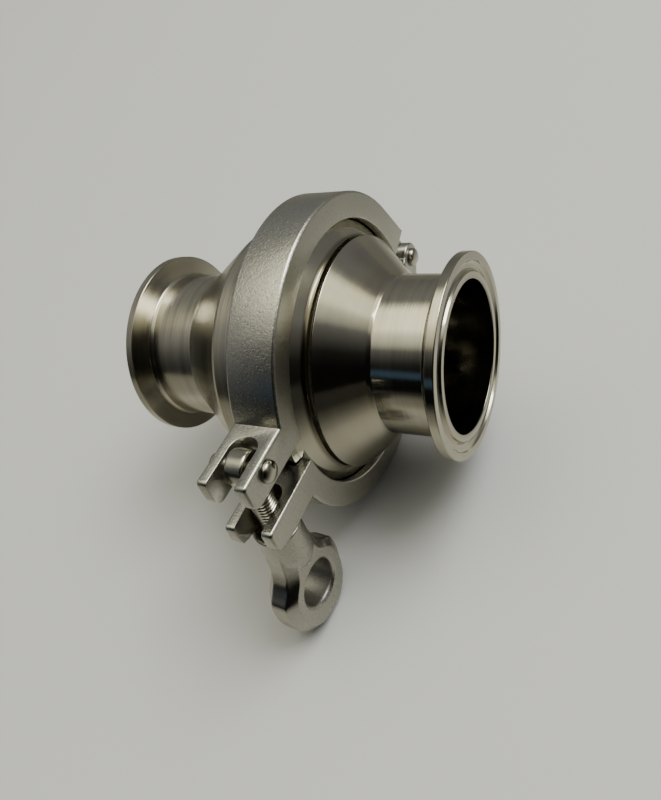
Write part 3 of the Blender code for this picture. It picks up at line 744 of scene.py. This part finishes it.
place(inlet_body(), "inlet_body", "body", inlet_steel)
place(outlet_body(), "outlet_body", "body", outlet_steel)
place(revolve("gasket", [(8.6, 36.7, 0.3), (9.6, 36.7, 0.3), (9.6, 44.7, 0.3), (8.6, 44.7, 0.3)]),
      "body_gasket", "body", rubber)
place(revolve("disc", [(20.6, 3.3, 0.2), (20.6, 29.4, 0.8), (24.4, 29.4, 0.3), (24.4, 24.6, 0.2),
                       (27.9, 24.6, 0.2), (27.9, 3.3, 0.2)]), "poppet_disc", "poppet", inner_steel)
place(revolve("retainer", [(28.2, 3.3, 0.1), (28.2, 26.0, 0.3), (30.2, 24.0, 0.8), (31.6, 12.0, 1.5),
                           (31.6, 3.3, 0.2)]), "oring_retainer", "poppet", inner_steel)
ring_points = [(26.4 + 1.6 * math.cos(math.tau * i / 24), 26.3 + 1.6 * math.sin(math.tau * i / 24), 0)
               for i in range(24)]
place(revolve("oring", ring_points), "poppet_oring", "poppet", rubber, 60.0)
place(revolve("washer", [(31.9, 3.3, 0.1), (31.9, 6.2, 0.25), (33.3, 6.2, 0.25), (33.3, 3.3, 0.1)],
              segments=64), "lock_washer", "poppet", inner_steel)
place(retainer_nut(), "retainer_nut", "poppet", pin_steel)
place(revolve("stem", [(40.2, 0, 0), (40.2, 3.0, 0.6), (20.3, 3.0, 0), (20.3, 4.0, 0.2), (-22.6, 4.0, 0.1),
                       (-22.6, 3.2, 0), (-23.9, 3.2, 0), (-23.9, 4.0, 0.1), (-29.8, 4.0, 0.8), (-29.8, 0, 0)],
              closed=False, segments=64), "poppet_stem", "poppet", pin_steel)
place(revolve("seat", [(18.9, 4.3, 0.1), (18.9, 9.0, 0.3), (15.6, 9.0, 0.15), (15.6, 9.5, 0.15),
                       (19.1, 9.5, 0.3), (19.1, 12.6, 0.2), (20.0, 12.6, 0.2), (20.0, 4.3, 0.1)],
              segments=96), "spring_seat", "poppet", inner_steel)
place(clip("clip", 6.2, 3.45, 35, -23.6, -22.9), "stem_clip", "poppet", wire_steel)
coil = place(spring(), "spring", "body", wire_steel, 60.0)
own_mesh(coil)
place(guide_spider(), "guide_spider", "body", inner_steel)
place(revolve("bush", [(-18.0, 4.08, 0.2), (-18.0, 6.0, 0.3), (-3.2, 6.0, 0.3), (-3.2, 4.08, 0.2)],
              segments=64), "guide_bush", "body", ptfe)
place(clip("ring", 37.8, 33.9, 8, -3.2, -2.3), "guide_retaining_ring", "body", wire_steel)
place(clamp_upper_half(), "clamp_upper_half", "clamp_upper", clamp_steel)
place(clamp_lower_half(), "clamp_lower_half", "body", clamp_steel)
place(headed_pin(HINGE), "hinge_pin", "body", pin_steel)
place(headed_pin(PIVOT), "swing_bolt_pin", "clamp_upper", pin_steel)
place(swing_bolt(), "swing_bolt", "swing_bolt", pin_steel)
roughen_hole(place(wing_nut(), "wing_nut", "wing_nut", nut_steel, 80.0))
place(revolve("insert", [(-26.2, 4.1, 0.3), (-26.2, 5.3, 0.2), (-43.6, 5.3, 0.2), (-43.6, 4.1, 0.3)],
              TO_BOLT, 64, axis="Z"), "nut_insert", "nut_insert", bronze)

# ---------------------------------------------------------------- floor, light, camera

bpy.ops.mesh.primitive_plane_add(size=6.0, location=(0, 0, 0))
floor = bpy.context.object
floor.name = "floor"
paper, paper_tree, paper_shader = new_material("floor_paper")
paper_shader.inputs["Roughness"].default_value = 0.65
mirrored = add(paper_tree, "ShaderNodeLightPath").outputs["Is Glossy Ray"]
# Painted shade: seen in the steel the paper is darker than the camera sees it, most of all towards the front
# right, and also behind and away from the valve.
place_on = add(paper_tree, "ShaderNodeSeparateXYZ")
paper_tree.links.new(add(paper_tree, "ShaderNodeTexCoord").outputs["Object"], place_on.inputs[0])
reach = math_node(paper_tree, "SUBTRACT", math_node(paper_tree, "MULTIPLY", place_on.outputs["X"], 0.75),
                  math_node(paper_tree, "MULTIPLY", place_on.outputs["Y"], 0.65))
dim = ramp(paper_tree, reach, [
    (0.02, (0.49, 0.485, 0.46)), (0.09, (0.38, 0.375, 0.35)), (0.14, (0.28, 0.275, 0.255)),
    (0.20, (0.12, 0.117, 0.107)), (0.30, (0.012, 0.011, 0.010))])
spread = add(paper_tree, "ShaderNodeVectorMath", operation="LENGTH")
paper_tree.links.new(add(paper_tree, "ShaderNodeTexCoord").outputs["Object"], spread.inputs[0])
far = math_node(paper_tree, "MULTIPLY", ramp(paper_tree, place_on.outputs["Y"], [(0.12, 1.0), (0.26, 0.38)]),
                ramp(paper_tree, spread.outputs["Value"],
                     [(0.08, 1.0), (0.11, 0.92), (0.135, 0.66), (0.17, 0.55)]))
faded = mixed(paper_tree, 1.0, dim, far, "MULTIPLY")
paper_colour = mixed(paper_tree, mirrored, (0.49, 0.50, 0.53), faded)
paper_tree.links.new(paper_colour, paper_shader.inputs["Base Color"])
floor.data.materials.append(paper)

PANEL_COLOUR = (3.1, 2.976, 2.232)
WINDOW_COLOUR = (0.06, 0.10, 0.15)
BACKDROP_COLOUR = (0.80, 0.80, 0.79)

world = bpy.data.worlds.new("room")
bpy.context.scene.world = world
world.use_nodes = True
sky = world.node_tree
direction = add(sky, "ShaderNodeTexCoord").outputs["Generated"]
parts = add(sky, "ShaderNodeSeparateXYZ")
sky.links.new(direction, parts.inputs[0])
east, north, high = (parts.outputs[k] for k in "XYZ")


def scaled(value, factor):
    return math_node(sky, "MULTIPLY", value, factor)


def summed(first, second):
    return math_node(sky, "ADD", first, second)


# A long soft panel overhead.
level = math_node(sky, "MAXIMUM", high, 0.05)
across = math_node(sky, "DIVIDE", summed(north, scaled(east, -0.30)), level)
beside = math_node(sky, "DIVIDE", east, level)
width = ramp(sky, scaled(summed(across, 1.0), 1 / 3), [
    (0.16, 0.0), (0.22, 0.25), (0.30, 0.52), (0.36, 1.0),
    (0.54, 1.0), (0.617, 0.55), (0.667, 0.1), (0.767, 0.0)])
length = ramp(sky, scaled(summed(beside, 2.0), 1 / 6), [
    (0.15, 0.0), (0.175, 0.06), (0.208, 0.26), (0.25, 0.82), (0.29, 1.0),
    (0.42, 1.0), (0.55, 0.66), (0.60, 0.55), (0.66, 0.0)])
corner = summed(across, summed(scaled(beside, -1.6), -1.2))
cut = ramp(sky, scaled(summed(corner, 1.0), 1 / 3), [(0.40, 1.0), (0.50, 0.45), (0.62, 0.0)])
panel = math_node(sky, "MULTIPLY", math_node(sky, "MULTIPLY", width, length), cut)
# Grey walls behind, falling to dark in front.
side = summed(north, scaled(east, -0.33))
wall = ramp(sky, scaled(summed(side, 1.0), 1 / 1.5), [
    (0.167, (0.008, 0.008, 0.007)), (0.267, (0.028, 0.027, 0.025)), (0.353, (0.12, 0.118, 0.108)),
    (0.447, (0.22, 0.218, 0.207)), (0.50, (0.32, 0.318, 0.305)), (0.90, (0.30, 0.298, 0.285))])
low = ramp(sky, high, [(0.10, 0.68), (0.55, 1.0)])
room = mixed(sky, panel, mixed(sky, 1.0, wall, low, "MULTIPLY"), PANEL_COLOUR)
# A dim blue window low in front.
pane = math_node(sky, "MULTIPLY", ramp(sky, high, [(0.26, 0.0), (0.32, 1.0), (0.40, 1.0), (0.46, 0.0)]),
                 ramp(sky, scaled(east, -1.0), [(0.02, 0.0), (0.12, 1.0), (0.53, 1.0), (0.61, 0.0)]))
pane = math_node(sky, "MULTIPLY", pane, ramp(sky, scaled(north, -1.0), [(0.55, 0.0), (0.70, 1.0)]))
room = mixed(sky, pane, room, WINDOW_COLOUR)
# The camera itself sees a plain pale backdrop.
seen = add(sky, "ShaderNodeLightPath").outputs["Is Camera Ray"]
back = sky.nodes["Background"]
sky.links.new(mixed(sky, seen, room, BACKDROP_COLOUR), back.inputs["Color"])
back.inputs["Strength"].default_value = 1.0

light = bpy.data.lights.new("key", "AREA")
light.shape = "RECTANGLE"
light.size, light.size_y = 1.5, 1.1
light.energy = 48.0
light.color = (0.985, 0.995, 1.0)
key = bpy.data.objects.new("key", light)
bpy.context.scene.collection.objects.link(key)
key.location = (1.0, 0.95, 2.2)
key.rotation_euler = (Vector((0, 0, 0.05)) - key.location).to_track_quat("-Z", "Y").to_euler()

camera = bpy.data.objects.new("camera", bpy.data.cameras.new("camera"))
bpy.context.scene.collection.objects.link(camera)
bpy.context.scene.camera = camera
camera.data.sensor_width = 36.0
camera.data.lens = 32.76
camera.data.clip_start = 0.01
right, up, ahead = (0.8751, 0.3316, -0.3526), (-0.0772, 0.8147, 0.5747), (-0.4778, 0.4757, -0.7385)
turn = Matrix((right, up, [-a for a in ahead])).transposed().to_4x4()
camera.matrix_world = Matrix.Translation(Vector((125.08, -117.72, 223.02)) * MM) @ turn
